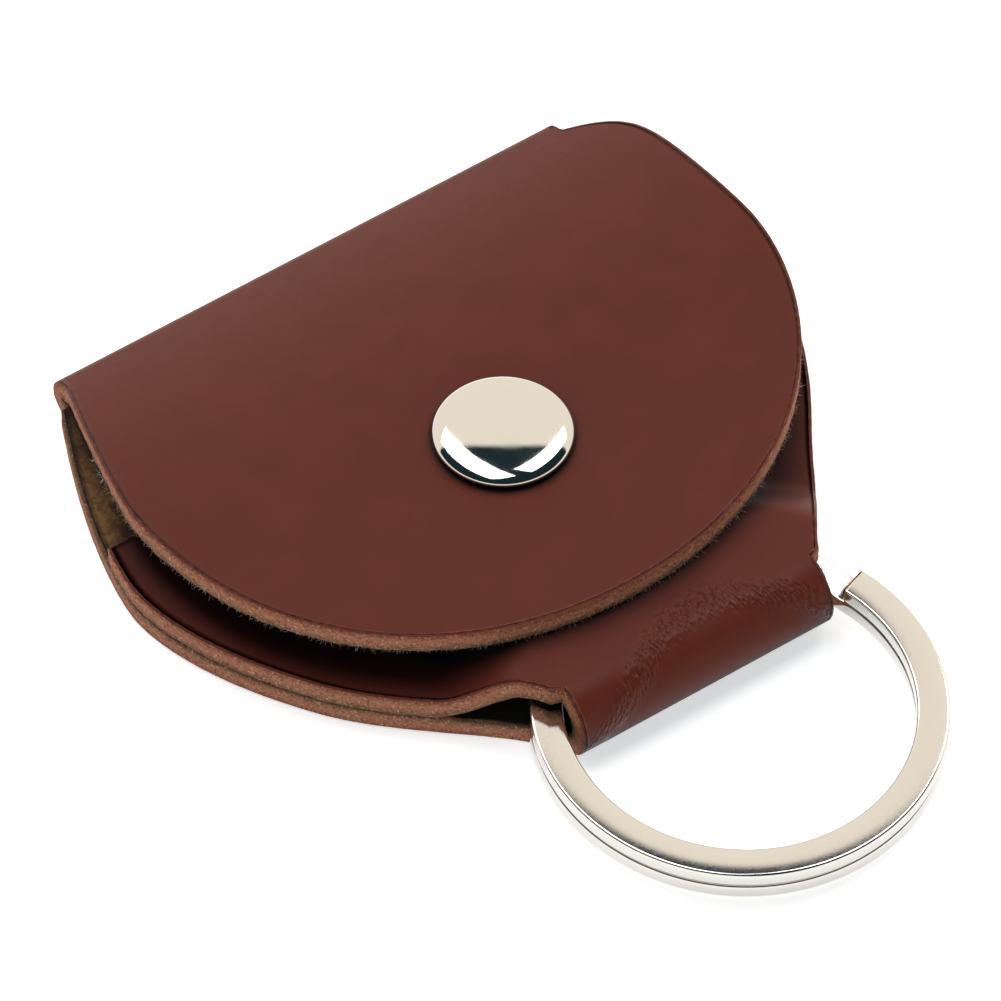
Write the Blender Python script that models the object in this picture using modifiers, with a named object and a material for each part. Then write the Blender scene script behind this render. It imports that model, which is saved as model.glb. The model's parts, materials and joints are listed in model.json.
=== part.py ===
"""Leather pick holder: a folded pouch with a snapped flap and a split key ring.

One strip of leather makes the flap, the fold it hinges on, the back panel, the
loop round the key ring and the pocket panel, which is glued to the back panel
along its rim.  A press snap holds the flap down on the pocket.

Frame: X along the fold, the key ring towards -Y, Z up, the back panel lying on
z = 0 and the origin under the middle of the whole object.  The strip is laid out
from the fold's axis, and the root empty puts that axis at FOLD_Y.
"""
import math

import bmesh
import bpy

MM = 0.001

# Leather strip
LEATHER = 2.0 * MM
GAP = 0.3 * MM

# Fold between the back panel and the flap
FOLD_Y = 39.125 * MM
FOLD_INNER = 0.15 * MM
FOLD_OUTER = FOLD_INNER + LEATHER
FOLD_Z = FOLD_OUTER
FOLD_HALF_WIDTH = 26.6 * MM
FOLD_OFFSET = 0.65 * MM
HINGE_CLEARANCE = 0.3 * MM

# Flap: it leaves the fold steeply and lies level from FLAP_LEVEL_Y on
FLAP_SLOPE = 0.4525
FLAP_LEVEL_Y = -26.5 * MM
FLAP_TIP_Y = -50.1 * MM
FLAP_WIDEST_Y = -19.8 * MM
FLAP_LEFT = 31.3 * MM
FLAP_RIGHT = 32.7 * MM
FLAP_ROUNDING_LEFT = 2.1
FLAP_ROUNDING_RIGHT = 2.0
SHOULDER_LEFT = 1.3
SHOULDER_RIGHT = 9.0

# Back panel and pocket panel
BODY_HALF_WIDTH = 33.15 * MM
BODY_WIDEST_Y = -22.5 * MM
POCKET_MOUTH_Y = -17.0 * MM
POCKET_BULGE = 1.0 * MM
RIM_WIDTH = 4.0 * MM
GLUE = 0.2 * MM

# Tab and the loop round the key ring
TAB_HALF_WIDTH = 13.1 * MM
TAB_OFFSET = 2.25 * MM
LOOP_Y = -54.3 * MM
LOOP_INNER = 2.0 * MM
LOOP_OUTER = LOOP_INNER + LEATHER

# Split key ring, two flat turns
RING_RADIUS = 17.75 * MM
RING_WIDTH = 2.6 * MM
RING_TURN_HEIGHT = 1.55 * MM
RING_TURN_GAP = 0.1 * MM
RING_TILT = math.radians(3.4)
RING_Y = -62.6 * MM
RING_Z = 3.23 * MM
RING_END = math.radians(19)
RING_STEP = math.radians(26)

# Press snap
SNAP_Y = -30.3 * MM
CAP_RADIUS = 6.2 * MM
CAP_HEIGHT = 1.7 * MM
SHELL = 0.35 * MM
POST_RADIUS = 1.6 * MM
SOCKET_RADIUS = 5.0 * MM
SOCKET_BORE = 2.75 * MM
STUD_FLANGE = 4.6 * MM
STUD_NECK = 1.7 * MM
STUD_HEAD = 1.95 * MM
SPRING_WIRE = 0.25 * MM

# Level of each leather face, at the snap
POCKET_UNDER_RIM = LEATHER + GAP
POCKET_TOP_RIM = POCKET_UNDER_RIM + LEATHER
POCKET_TOP_SNAP = POCKET_TOP_RIM + POCKET_BULGE
FLAP_START_Y = FOLD_OUTER * math.sin(math.atan(FLAP_SLOPE))
FLAP_START_Z = FOLD_Z + FOLD_OUTER * math.cos(math.atan(FLAP_SLOPE))
FLAP_TOP = FLAP_START_Z + FLAP_SLOPE * (FLAP_START_Y - FLAP_LEVEL_Y) / 2
FLAP_UNDER = FLAP_TOP - LEATHER


def clear_scene():
    for old in list(bpy.data.objects):
        bpy.data.objects.remove(old, do_unlink=True)


def make_collection(name):
    group = bpy.data.collections.new(name)
    bpy.context.scene.collection.children.link(group)
    return group


def make_empty(group, name, location, parent=None):
    empty = bpy.data.objects.new(name, None)
    empty.location = location
    empty.parent = parent
    group.objects.link(empty)
    return empty


def make_material(name, colour, metallic, roughness):
    mat = bpy.data.materials.new(name)
    mat.use_nodes = True
    shader = mat.node_tree.nodes["Principled BSDF"]
    shader.inputs["Base Color"].default_value = (*colour, 1.0)
    shader.inputs["Metallic"].default_value = metallic
    shader.inputs["Roughness"].default_value = roughness
    return mat


def smooth_step(value):
    value = min(max(value, 0.0), 1.0)
    return value * value * (3 - 2 * value)


def smooth_max(a, b, softness):
    return (a + b + math.sqrt((a - b) ** 2 + softness**2)) / 2


# ---- outlines of the strip -------------------------------------------------


def body_centre(y):
    """The tab sits a little to the right of the pouch's middle."""
    return TAB_OFFSET * smooth_step((-40 * MM - y) / (14 * MM))


def body_half_width(y):
    """The pouch swells to its widest line, then narrows into the tab."""
    distance = abs(y - BODY_WIDEST_Y) / MM
    if y > BODY_WIDEST_Y:
        pouch = BODY_HALF_WIDTH - 0.061 * MM * distance**1.53
    else:
        pouch = BODY_HALF_WIDTH - 0.0536 * MM * distance**1.72
    return smooth_max(pouch, TAB_HALF_WIDTH, 2.5 * MM)


def flap_half_width(y, side):
    """Near an ellipse below the widest line; the right shoulder is fuller."""
    widest = FLAP_RIGHT if side > 0 else FLAP_LEFT
    rounding = FLAP_ROUNDING_RIGHT if side > 0 else FLAP_ROUNDING_LEFT
    shoulder = SHOULDER_RIGHT if side > 0 else SHOULDER_LEFT
    if y <= FLAP_WIDEST_Y:
        reach = (FLAP_WIDEST_Y - y) / (FLAP_WIDEST_Y - FLAP_TIP_Y)
        return widest * max(0.0, 1 - reach**rounding) ** (1 / rounding)
    reach = (y - FLAP_WIDEST_Y) / -FLAP_WIDEST_Y
    at_fold = FOLD_HALF_WIDTH + math.copysign(FOLD_OFFSET, side)
    return widest - (widest - at_fold) * reach**shoulder


def flap_top(y):
    """Height of the flap's grain side: steep at the fold, then level."""
    span = FLAP_START_Y - FLAP_LEVEL_Y
    run = min(max(FLAP_START_Y - y, 0.0), span)
    return FLAP_START_Z + FLAP_SLOPE * (run - run * run / (2 * span))


def pocket_top(x, y):
    """Grain side of the pocket panel: raised over the picks and the ring."""
    inside = body_half_width(y) - RIM_WIDTH
    across = min(abs(x) / inside, 1.0)
    along = 1 - smooth_step((-34.7 * MM - y) / (3 * MM))
    bulge = POCKET_BULGE * (1 - smooth_step((across - 0.45) / 0.55)) * along
    from_ring = math.hypot(x - TAB_OFFSET, y - RING_Y)
    over_ring = 1 - smooth_step((from_ring - 18.4 * MM) / (6 * MM))
    return POCKET_TOP_RIM + bulge + (2 * LOOP_OUTER - POCKET_TOP_RIM) * over_ring


# ---- leather ---------------------------------------------------------------


def leather_sheet(group, name, mat, columns, rows, place, flip=False):
    """A grid laid on the leather's grain side, thickened towards the flesh side.

    place(s, t) gives the grain point for s across, -1 to 1, and t along, 0 to 1.
    """
    mesh = bpy.data.meshes.new(name)
    form = bmesh.new()
    bmesh.ops.create_grid(form, x_segments=columns, y_segments=rows, size=1.0)
    for vert in form.verts:
        vert.co = place(vert.co.x, (1 - vert.co.y) / 2)
    bmesh.ops.remove_doubles(form, verts=form.verts, dist=0.001 * MM)
    if flip:
        bmesh.ops.reverse_faces(form, faces=form.faces)
    form.to_mesh(mesh)
    form.free()
    mesh.materials.append(mat)
    obj = bpy.data.objects.new(name, mesh)
    group.objects.link(obj)
    skin = obj.modifiers.new("Thickness", "SOLIDIFY")
    skin.thickness = LEATHER
    skin.offset = -1.0
    skin.use_even_offset = True
    return obj


def hole_cutter(cutters, name, parent):
    """A cylinder on the snap's axis, for the posts' holes in both panels."""
    mesh = bpy.data.meshes.new(name)
    form = bmesh.new()
    radius = POST_RADIUS + GAP
    bmesh.ops.create_cone(form, cap_ends=True, segments=24, radius1=radius, radius2=radius, depth=20 * MM)
    form.to_mesh(mesh)
    form.free()
    cutter = bpy.data.objects.new(name, mesh)
    cutter.parent = parent
    cutter.location = (0, SNAP_Y, FLAP_UNDER)
    cutter.hide_render = True
    cutter.display_type = "WIRE"
    cutters.objects.link(cutter)
    return cutter


def punch_hole(obj, cutter):
    """Cut a post's hole through a panel."""
    cut = obj.modifiers.new("Post hole", "BOOLEAN")
    cut.operation = "DIFFERENCE"
    cut.object = cutter


def hinge_fold(group, mat):
    """The tight fold that the flap turns on, from under the back to the flap."""
    sweep = math.pi - math.atan(FLAP_SLOPE)

    def place(s, t):
        angle = -math.pi / 2 + sweep * t
        y = FOLD_OUTER * math.cos(angle)
        z = FOLD_Z + FOLD_OUTER * math.sin(angle)
        return (FOLD_OFFSET + s * FOLD_HALF_WIDTH, y, z)

    return leather_sheet(group, "hinge_fold", mat, 4, 14, place)


def flap_panel(group, mat, hole):
    """The flap; its root keeps clear of the fold while it swings."""
    lean = math.atan(FLAP_SLOPE)
    start = FLAP_START_Y - (FOLD_OUTER + HINGE_CLEARANCE) * math.cos(lean)

    def place(s, t):
        y = start + (FLAP_TIP_Y - start) * math.sin(t * math.pi / 2)
        return (s * flap_half_width(y, s), y, flap_top(y))

    obj = leather_sheet(group, "flap_panel", mat, 12, 30, place)
    punch_hole(obj, hole)
    return obj


def back_panel(group, mat):
    """The flat back, grain side down on z = 0, with the tab's lower layer."""
    start = -GAP
    end = LOOP_Y + GAP

    def place(s, t):
        y = start + (end - start) * t
        return (body_centre(y) + s * body_half_width(y), y, 0)

    return leather_sheet(group, "back_panel", mat, 1, 30, place, flip=True)


def ring_loop(group, mat):
    """The tab turned back on itself round the key ring."""

    def place(s, t):
        angle = math.pi * t
        y = LOOP_Y - LOOP_OUTER * math.sin(angle)
        z = LOOP_OUTER * (1 + math.cos(angle))
        return (TAB_OFFSET + s * TAB_HALF_WIDTH, y, z)

    return leather_sheet(group, "ring_loop", mat, 4, 16, place)


def pocket_panel(group, mat, hole):
    """The panel that makes the pocket, lifted over the key ring at the tab."""
    end = LOOP_Y + GAP

    def place(s, t):
        y = POCKET_MOUTH_Y + (end - POCKET_MOUTH_Y) * t
        x = body_centre(y) + s * body_half_width(y)
        return (x, y, pocket_top(x, y))

    obj = leather_sheet(group, "pocket_panel", mat, 22, 26, place)
    punch_hole(obj, hole)
    return obj


def rim_points(side, inset, ring_distance):
    """Down one side of the rim, from the mouth to a circle round the ring."""
    points = []
    steps = 60
    for step in range(steps + 1):
        y = POCKET_MOUTH_Y - GAP - step / steps * 34 * MM
        x = body_centre(y) + side * (body_half_width(y) - inset)
        if math.hypot(x - TAB_OFFSET, y - RING_Y) < ring_distance:
            break
        if step % 4 == 0:
            points.append((x, y))
    return points


def arc_points(start, end, radius):
    """Round the key ring's centre from one point's bearing to the other's."""
    first = math.atan2(start[1] - RING_Y, start[0] - TAB_OFFSET)
    last = math.atan2(end[1] - RING_Y, end[0] - TAB_OFFSET)
    points = []
    for step in range(1, 12):
        angle = first + (last - first) * step / 12
        points.append((TAB_OFFSET + radius * math.cos(angle), RING_Y + radius * math.sin(angle)))
    return points


def rim_glue(group, mat):
    """The film of contact glue that joins the two panels round the pocket."""
    outer = 25.0 * MM
    inner = 26.6 * MM
    right = rim_points(1, 0.5 * MM, outer)
    left = rim_points(-1, 0.5 * MM, outer)
    inner_right = rim_points(1, RIM_WIDTH, inner)
    inner_left = rim_points(-1, RIM_WIDTH, inner)
    points = right + arc_points(right[-1], left[-1], outer) + left[::-1]
    points += inner_left + arc_points(inner_left[-1], inner_right[-1], inner) + inner_right[::-1]
    curve = bpy.data.curves.new("rim_glue", "CURVE")
    curve.dimensions = "2D"
    curve.fill_mode = "BOTH"
    curve.extrude = GLUE / 2
    line = curve.splines.new("POLY")
    line.points.add(len(points) - 1)
    for point, (x, y) in zip(line.points, points):
        point.co = (x, y, 0, 1)
    line.use_cyclic_u = True
    curve.materials.append(mat)
    obj = bpy.data.objects.new("rim_glue", curve)
    obj.location.z = LEATHER + GAP / 2
    group.objects.link(obj)
    return obj


# ---- turned snap pieces ----------------------------------------------------


def turned(group, name, mat, profile, steps=32):
    """A profile of (radius, height) points, top to bottom down its outer side."""
    mesh = bpy.data.meshes.new(name)
    form = bmesh.new()
    verts = [form.verts.new((radius, 0, height)) for radius, height in profile]
    for first, second in zip(verts, verts[1:] + verts[:1]):
        if first.co.x > 0 or second.co.x > 0:
            form.edges.new((first, second))
    form.to_mesh(mesh)
    form.free()
    mesh.materials.append(mat)
    obj = bpy.data.objects.new(name, mesh)
    obj.location = (0, SNAP_Y, 0)
    group.objects.link(obj)
    screw = obj.modifiers.new("Turn", "SCREW")
    screw.steps = steps
    screw.render_steps = steps
    screw.use_merge_vertices = True
    screw.merge_threshold = 0.001 * MM
    screw.use_smooth_shade = True
    return obj


def dome_arc(radius, height, base, steps):
    """A shallow dome's outline from its crown to its shoulder."""
    points = []
    for step in range(steps + 1):
        angle = math.pi / 2 * step / steps
        points.append((radius * math.sin(angle), base + height * math.cos(angle)))
    return points


def cap_dome(group, mat):
    """The domed cap, a thin shell with its rim rolled in round the post."""
    base = FLAP_TOP + 0.35 * MM
    outer = dome_arc(CAP_RADIUS, CAP_HEIGHT - 0.35 * MM, base, 10)
    lip = [(CAP_RADIUS - 0.25 * MM, FLAP_TOP + 0.08 * MM), (CAP_RADIUS - 1.1 * MM, FLAP_TOP + 0.08 * MM)]
    roll = [(CAP_RADIUS - 1.1 * MM, base), (CAP_RADIUS - SHELL, base)]
    inner = dome_arc(CAP_RADIUS - SHELL, CAP_HEIGHT - 0.35 * MM - SHELL, base, 8)
    return turned(group, "cap_dome", mat, outer + lip + roll + inner[-2::-1], 48)


def cap_post(group, mat):
    """The barrel rivet that runs from under the dome into the socket."""
    head = CAP_RADIUS - 1.4 * MM
    flare = FLAP_UNDER - 0.65 * MM
    profile = [
        (0, FLAP_TOP + 0.45 * MM),
        (head, FLAP_TOP + 0.45 * MM),
        (head, FLAP_TOP + 0.1 * MM),
        (POST_RADIUS, FLAP_TOP + 0.1 * MM),
        (POST_RADIUS, flare + 0.25 * MM),
        (POST_RADIUS + 0.8 * MM, flare + 0.25 * MM),
        (POST_RADIUS + 0.8 * MM, flare),
        (0, flare),
    ]
    return turned(group, "cap_post", mat, profile)


def snap_socket(group, mat):
    """The socket under the flap, a rolled cup that holds the ring spring."""
    top = FLAP_UNDER - 0.08 * MM
    bottom = POCKET_TOP_SNAP + 0.65 * MM
    spring = spring_height()
    groove = SPRING_WIRE + 0.15 * MM
    profile = [
        (POST_RADIUS + 0.15 * MM, top),
        (SOCKET_RADIUS - 0.3 * MM, top),
        (SOCKET_RADIUS, top - 0.3 * MM),
        (SOCKET_RADIUS, bottom + 0.5 * MM),
        (SOCKET_RADIUS - 0.5 * MM, bottom),
        (SOCKET_BORE + 0.3 * MM, bottom),
        (SOCKET_BORE, bottom + 0.3 * MM),
        (SOCKET_BORE, spring - groove),
        (SOCKET_BORE + 0.6 * MM, spring - groove),
        (SOCKET_BORE + 0.6 * MM, spring + groove),
        (SOCKET_BORE, spring + groove),
        (SOCKET_BORE, top - 0.3 * MM),
        (POST_RADIUS + 0.15 * MM, top - 0.3 * MM),
    ]
    return turned(group, "snap_socket", mat, profile, 40)


def spring_height():
    """The spring sits level with the stud's neck when the flap is snapped."""
    return POCKET_TOP_SNAP + 1.35 * MM


def socket_spring(group, mat):
    """The split wire ring in the socket's groove that grips the stud."""
    curve = bpy.data.curves.new("socket_spring", "CURVE")
    curve.dimensions = "3D"
    curve.bevel_depth = SPRING_WIRE
    curve.bevel_resolution = 2
    curve.use_fill_caps = True
    curve.render_resolution_u = 0
    line = curve.splines.new("POLY")
    steps = 28
    opening = math.radians(24)
    radius = STUD_HEAD + 0.3 * MM + SPRING_WIRE
    line.points.add(steps)
    for step, point in enumerate(line.points):
        angle = opening / 2 + (2 * math.pi - opening) * step / steps
        point.co = (radius * math.cos(angle), radius * math.sin(angle), 0, 1)
    curve.materials.append(mat)
    obj = bpy.data.objects.new("socket_spring", curve)
    obj.location = (0, SNAP_Y, spring_height())
    group.objects.link(obj)
    return obj


def snap_stud(group, mat):
    """The stud on the pocket, hollow for its rivet, with a necked head."""
    foot = POCKET_TOP_SNAP + 0.05 * MM
    hollow = POST_RADIUS - 0.35 * MM
    profile = [
        (0, foot + 2.25 * MM),
        (STUD_HEAD - 0.45 * MM, foot + 2.25 * MM),
        (STUD_HEAD, foot + 1.9 * MM),
        (STUD_HEAD, foot + 1.65 * MM),
        (STUD_NECK, foot + 1.3 * MM),
        (STUD_NECK, foot + 0.7 * MM),
        (STUD_NECK + 0.3 * MM, foot + 0.5 * MM),
        (STUD_FLANGE, foot + 0.4 * MM),
        (STUD_FLANGE, foot),
        (hollow, foot),
        (hollow, foot + 1.85 * MM),
        (0, foot + 1.85 * MM),
    ]
    return turned(group, "snap_stud", mat, profile)


def stud_post(group, mat):
    """The rivet inside the pocket that fastens the stud."""
    under = POCKET_TOP_SNAP - LEATHER
    barrel = POST_RADIUS - 0.5 * MM
    profile = [
        (0, POCKET_TOP_SNAP + 1.6 * MM),
        (barrel, POCKET_TOP_SNAP + 1.6 * MM),
        (barrel, under - 0.1 * MM),
        (3.8 * MM, under - 0.1 * MM),
        (3.8 * MM, under - 0.35 * MM),
        (3.4 * MM, under - 0.55 * MM),
        (0, under - 0.55 * MM),
    ]
    return turned(group, "stud_post", mat, profile)


# ---- split key ring --------------------------------------------------------


def ring_path():
    """Two level turns joined by one ramp, about the ring's own axis."""
    low = -(RING_TURN_HEIGHT + RING_TURN_GAP) / 2
    ramp_start = RING_END + 2 * math.pi
    ramp_end = ramp_start + RING_STEP
    start = ramp_end - 2 * math.pi + math.radians(2)
    end = RING_END + 4 * math.pi
    radius = RING_RADIUS - RING_WIDTH / 2
    steps = 138
    points = []
    for step in range(steps + 1):
        angle = start + (end - start) * step / steps
        climb = smooth_step((angle - ramp_start) / (ramp_end - ramp_start))
        points.append((radius * math.cos(angle), radius * math.sin(angle), low - 2 * low * climb))
    return points


def wire_section(cutters):
    """The flat wire's section with its corners eased."""
    half_width = RING_WIDTH / 2
    half_height = RING_TURN_HEIGHT / 2
    ease = 0.25 * MM
    curve = bpy.data.curves.new("ring_section", "CURVE")
    curve.dimensions = "2D"
    curve.fill_mode = "NONE"
    line = curve.splines.new("POLY")
    line.points.add(7)
    corners = []
    for sx, sy in ((1, 1), (-1, 1), (-1, -1), (1, -1)):
        side = (sx * half_width, sy * (half_height - ease))
        flat = (sx * (half_width - ease), sy * half_height)
        corners += [side, flat] if sx * sy > 0 else [flat, side]
    for point, (x, y) in zip(line.points, reversed(corners)):
        point.co = (x, y, 0, 1)
    line.use_cyclic_u = True
    section = bpy.data.objects.new("ring_section", curve)
    section.hide_render = True
    section.display_type = "WIRE"
    cutters.objects.link(section)
    return section


def split_ring(group, mat, cutters):
    """The flat split ring, threaded through the tab's loop."""
    curve = bpy.data.curves.new("split_ring", "CURVE")
    curve.dimensions = "3D"
    curve.twist_mode = "Z_UP"
    curve.bevel_mode = "OBJECT"
    curve.bevel_object = wire_section(cutters)
    curve.use_fill_caps = True
    curve.render_resolution_u = 0
    points = ring_path()
    line = curve.splines.new("POLY")
    line.points.add(len(points) - 1)
    for point, co in zip(line.points, points):
        point.co = (*co, 1)
    curve.materials.append(mat)
    obj = bpy.data.objects.new("split_ring", curve)
    obj.location = (TAB_OFFSET, RING_Y, RING_Z)
    obj.rotation_euler = (RING_TILT, 0, 0)
    group.objects.link(obj)
    return obj


def build():
    clear_scene()
    group = make_collection("pick_holder")
    cutters = make_collection("pick_holder_cutters")

    grain = make_material("leather", (0.17, 0.045, 0.028), 0.0, 0.5)
    glue = make_material("contact glue", (0.45, 0.32, 0.16), 0.0, 0.4)
    bright = make_material("bright nickel", (0.78, 0.75, 0.70), 1.0, 0.12)
    satin = make_material("satin nickel", (0.72, 0.70, 0.66), 1.0, 0.3)
    steel = make_material("spring steel", (0.5, 0.5, 0.52), 1.0, 0.35)

    root = make_empty(group, "pick_holder_root", (0, FOLD_Y, 0))
    hinge = make_empty(group, "flap_hinge_axis", (0, 0, FOLD_Z), root)
    post_hole = hole_cutter(cutters, "post_hole", root)

    fixed = [
        hinge_fold(group, grain),
        back_panel(group, grain),
        ring_loop(group, grain),
        pocket_panel(group, grain, post_hole),
        rim_glue(group, glue),
        snap_stud(group, bright),
        stud_post(group, satin),
        split_ring(group, satin, cutters),
    ]
    swinging = [
        flap_panel(group, grain, post_hole),
        cap_dome(group, bright),
        cap_post(group, satin),
        snap_socket(group, satin),
        socket_spring(group, steel),
    ]
    for piece in fixed:
        piece.parent = root
    for piece in swinging:
        piece.parent = hinge
        piece.location -= hinge.location


build()
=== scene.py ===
"""Looks of a leather pick holder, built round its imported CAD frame.

One strip of leather is made as two meshes that meet under the fold: the flap, which
bends over its hinge, and the body, which is the back, the loop round the key ring and
the pocket.  Lengths are in millimetres in a frame whose Y starts at the fold's axis,
and to_world() takes them to the CAD's metres.  Each leather vertex carries its place
on the flat strip, which the materials read, so grain and fibres follow every bend.
"""
import json
import math
import random

import bmesh
import bpy
import numpy as np
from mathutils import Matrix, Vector, kdtree, noise


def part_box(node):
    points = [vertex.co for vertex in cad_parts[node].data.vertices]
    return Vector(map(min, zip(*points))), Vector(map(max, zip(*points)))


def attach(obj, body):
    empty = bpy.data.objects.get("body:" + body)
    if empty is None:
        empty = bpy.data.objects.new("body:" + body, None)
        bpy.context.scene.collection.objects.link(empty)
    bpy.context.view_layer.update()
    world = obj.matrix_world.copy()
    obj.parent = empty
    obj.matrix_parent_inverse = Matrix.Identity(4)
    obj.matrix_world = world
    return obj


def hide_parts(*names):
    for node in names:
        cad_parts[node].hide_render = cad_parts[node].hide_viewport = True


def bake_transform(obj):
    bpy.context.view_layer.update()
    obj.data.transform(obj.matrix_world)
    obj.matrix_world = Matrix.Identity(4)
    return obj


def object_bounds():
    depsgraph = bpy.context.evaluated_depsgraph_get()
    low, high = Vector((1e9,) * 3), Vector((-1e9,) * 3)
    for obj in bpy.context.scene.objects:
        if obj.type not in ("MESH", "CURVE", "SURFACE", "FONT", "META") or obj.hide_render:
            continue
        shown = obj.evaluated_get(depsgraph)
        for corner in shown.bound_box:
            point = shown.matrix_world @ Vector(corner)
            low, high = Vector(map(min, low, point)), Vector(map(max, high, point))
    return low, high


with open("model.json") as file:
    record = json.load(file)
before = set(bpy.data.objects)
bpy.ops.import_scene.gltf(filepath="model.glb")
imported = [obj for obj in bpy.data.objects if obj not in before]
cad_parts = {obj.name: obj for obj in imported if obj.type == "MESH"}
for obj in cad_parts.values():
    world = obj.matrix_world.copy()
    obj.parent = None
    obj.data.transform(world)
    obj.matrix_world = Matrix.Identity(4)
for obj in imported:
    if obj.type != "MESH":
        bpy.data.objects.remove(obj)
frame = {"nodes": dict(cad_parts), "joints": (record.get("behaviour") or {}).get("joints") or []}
cad_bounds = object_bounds()

MM = 0.001
joints = {joint["name"]: joint for joint in frame["joints"]}
FOLD = Vector(joints["flap_hinge"]["pos_m"])
RING = Vector(joints["ring_turn"]["pos_m"])


def node_box(node):
    """A CAD node's corners in millimetres from the fold's axis."""
    low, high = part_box(node)
    shift = Vector((0, FOLD.y, 0))
    return (low - shift) / MM, (high - shift) / MM


# ---- sizes read from the frame ---------------------------------------------

back_low, back_high = node_box("back_panel")
fold_low, fold_high = node_box("hinge_fold")
flap_low, flap_high = node_box("flap_panel")
loop_low, loop_high = node_box("ring_loop")
pocket_high = node_box("pocket_panel")[1]
cap_low, cap_high = node_box("cap_dome")
stud_low, stud_high = node_box("snap_stud")
socket_low, socket_high = node_box("snap_socket")
ring_low, ring_high = node_box("split_ring")

# The fold's left end starts this much further in than the CAD's
FOLD_LEFT_TUCK = 0.3
LEATHER = back_high.z - back_low.z
FOLD_OUTER = fold_high.z / 2
FOLD_Z = FOLD.z / MM
FOLD_LEFT = fold_low.x + FOLD_LEFT_TUCK
FOLD_RIGHT = fold_high.x
FLAP_LEFT = -flap_low.x
FLAP_RIGHT = flap_high.x
FLAP_TIP_Y = flap_low.y
BODY_HALF_WIDTH = back_high.x
TAB_OFFSET = (loop_low.x + loop_high.x) / 2
TAB_HALF_WIDTH = (loop_high.x - loop_low.x) / 2
LOOP_OUTER = loop_high.z / 2
LOOP_Y = loop_low.y + LOOP_OUTER
POCKET_MOUTH_Y = pocket_high.y
RING_Y = (RING.y - FOLD.y) / MM
SNAP_Y = (cap_low.y + cap_high.y) / 2

# Key ring: its rounded outer wall stands RING_BULGE past the CAD's
RING_BULGE = 0.3
RING_WIDTH = 2.6 + RING_BULGE
RING_TURN_HEIGHT = 1.52
RING_TURN_GAP = 0.16
RING_END = math.radians(19)
RING_RAMP = math.radians(26)

# Shape of the strip, mostly as the CAD lays it out
FLAP_SLOPE = 0.4525
LEAN = math.atan(FLAP_SLOPE)
FLAP_START_Y = FOLD_OUTER * math.sin(LEAN)
FLAP_START_Z = FOLD_Z + FOLD_OUTER * math.cos(LEAN)
FLAP_LEVEL_Y = -26.5
FLAP_WIDEST_Y = -19.8
FLAP_ROUNDING = {-1: 2.1, 1: 2.0}
FLAP_SHOULDER = {-1: 1.3, 1: 9.0}
BODY_WIDEST_Y = -22.5
TAB_START_Y = -40.0
TAB_SHIFT_LENGTH = 14.0
POCKET_TOP_RIM = 4.3
POCKET_BULGE = 1.0
BULGE_END_Y = -34.7
RIM_WIDTH = 4.0
# The glued rim is pressed together by this much, which hides the glue's gap
RIM_SQUEEZE = 0.27
OVER_RING_RADIUS = 18.4
OVER_RING_SLOPE = 7.5
# The flap dips a little round the cap
DIMPLE_DEPTH = 0.16
DIMPLE_RADIUS = 5.2
DIMPLE_SLOPE = 3.6

# Where the flap's mesh meets the body's, under the fold
SEAM_Y = -0.4
# Distance along the strip, from the seam, of the creases on top of the loop
LOOP_CREST = abs(LOOP_Y - SEAM_Y) + math.pi * LOOP_OUTER * 1.05

# Cut edge: (outward, depth) from the grain side down to the flesh side
EDGE_INSET = 0.30
EDGE_PROFILE = (
    (0.17, 0.010),
    (0.25, 0.045),
    (0.29, 0.12),
    (0.31, 0.30),
    (0.31, 0.60),
    (0.30, 0.95),
    (0.32, 1.30),
    (0.31, 1.65),
    (0.28, 1.93),
)
GRAIN_WRAP = 2
FLESH_RELIEF = 0.05
EDGE_FRAY = 0.10

# Points across and along each leather grid
FLAP_COLUMNS = 121
FLAP_ROWS = 93
FLAP_SIDE_SHARE = 0.37
FOLD_STEPS = 45
BODY_COLUMNS = 105
BACK_ROWS = 90
LOOP_STEPS = 24
POCKET_ROWS = 68
OUTLINE_POINTS = 2001

SEED = 11


# ---- shared shapes ---------------------------------------------------------


def smooth_step(value):
    value = np.clip(value, 0.0, 1.0)
    return value * value * (3 - 2 * value)


def smooth_max(a, b, softness):
    return (a + b + np.sqrt((a - b) ** 2 + softness**2)) / 2


def body_centre(y):
    """The tab sits a little to the right of the pouch's middle."""
    return TAB_OFFSET * smooth_step((TAB_START_Y - y) / TAB_SHIFT_LENGTH)


def body_half_width(y):
    """The pouch swells to its widest line, then narrows into the tab."""
    away = np.abs(y - BODY_WIDEST_Y)
    above = BODY_HALF_WIDTH - 0.061 * away**1.53
    below = BODY_HALF_WIDTH - 0.0536 * away**1.72
    return smooth_max(np.where(y > BODY_WIDEST_Y, above, below), TAB_HALF_WIDTH, 2.5)


def flap_top(y):
    """Height of the flap's grain side: steep at the fold, then level."""
    span = FLAP_START_Y - FLAP_LEVEL_Y
    run = np.clip(FLAP_START_Y - y, 0.0, span)
    return FLAP_START_Z + FLAP_SLOPE * (run - run * run / (2 * span))


def pocket_top(x, y):
    """Grain side of the pocket panel: raised over the picks and the ring, low at its rim."""
    across = np.minimum(np.abs(x) / (body_half_width(y) - RIM_WIDTH), 1.0)
    along = 1 - smooth_step((BULGE_END_Y - y) / 3)
    bulge = POCKET_BULGE * (1 - smooth_step((across - 0.45) / 0.55)) * along
    from_ring = np.hypot(x - TAB_OFFSET, y - RING_Y)
    over_ring = 1 - smooth_step((from_ring - OVER_RING_RADIUS) / OVER_RING_SLOPE)
    glued = (1 - smooth_step((1 - across) * 6)) * smooth_step((y + 50) / 6)
    rim = POCKET_TOP_RIM - RIM_SQUEEZE * glued
    return rim + bulge + (2 * LOOP_OUTER - rim) * over_ring


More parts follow.
